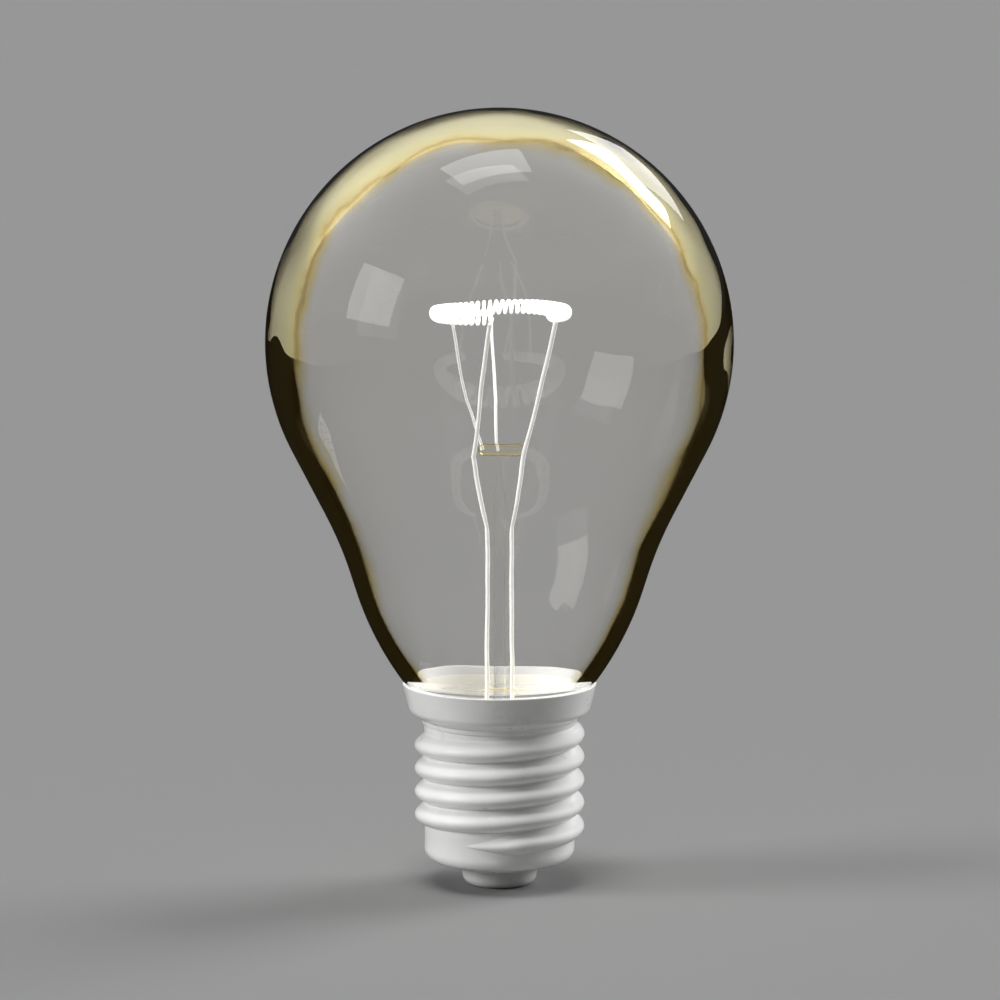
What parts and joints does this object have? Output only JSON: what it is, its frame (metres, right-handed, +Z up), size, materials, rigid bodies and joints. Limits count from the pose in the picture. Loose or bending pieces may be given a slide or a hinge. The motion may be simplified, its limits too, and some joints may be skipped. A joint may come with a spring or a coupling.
{
  "type": "light bulb",
  "caption": "Burnt-out clear incandescent light bulb with thick amber-edged glass, coiled ring filament on wire supports, and a white screw cap.",
  "frame": {"origin": "middle of the flat underside of the centre contact", "axes": "+Z up the bulb's axis from the contact to the crown; -Y towards the gap in the filament's ring"},
  "size_m": [0.0716, 0.0716, 0.1201],
  "materials": {
    "clear_glass": "clear polished glass, amber where it is seen edge on",
    "stem_glass": "clear fire-polished glass with an amber rim",
    "lead_wire": "pale drawn wire, satin",
    "support_wire": "pale drawn wire, satin",
    "seal_wire": "pinkish copper-clad wire",
    "copper_wire": "bare copper",
    "filament": "white, matte coil",
    "solder": "dull solder",
    "white_shell": "white, satin",
    "cement": "cream, matte",
    "white_insulator": "white, glazed",
    "white_contact": "pale, satin"
  },
  "bodies": {
    "root": {"glass_envelope": "clear_glass", "stem_glass": "stem_glass", "exhaust_tip": "stem_glass", "lead_wire_left": "lead_wire", "lead_wire_right": "lead_wire", "seal_wire_left": "seal_wire", "seal_wire_right": "seal_wire", "support_wire_left": "support_wire", "support_wire_rear": "support_wire", "filament": "filament", "outer_lead_side": "copper_wire", "outer_lead_centre": "copper_wire", "side_solder": "solder", "cap_shell": "white_shell", "basing_cement": "cement", "cap_insulator": "white_insulator", "centre_contact": "white_contact", "contact_solder": "solder"}
  },
  "joints": []
}
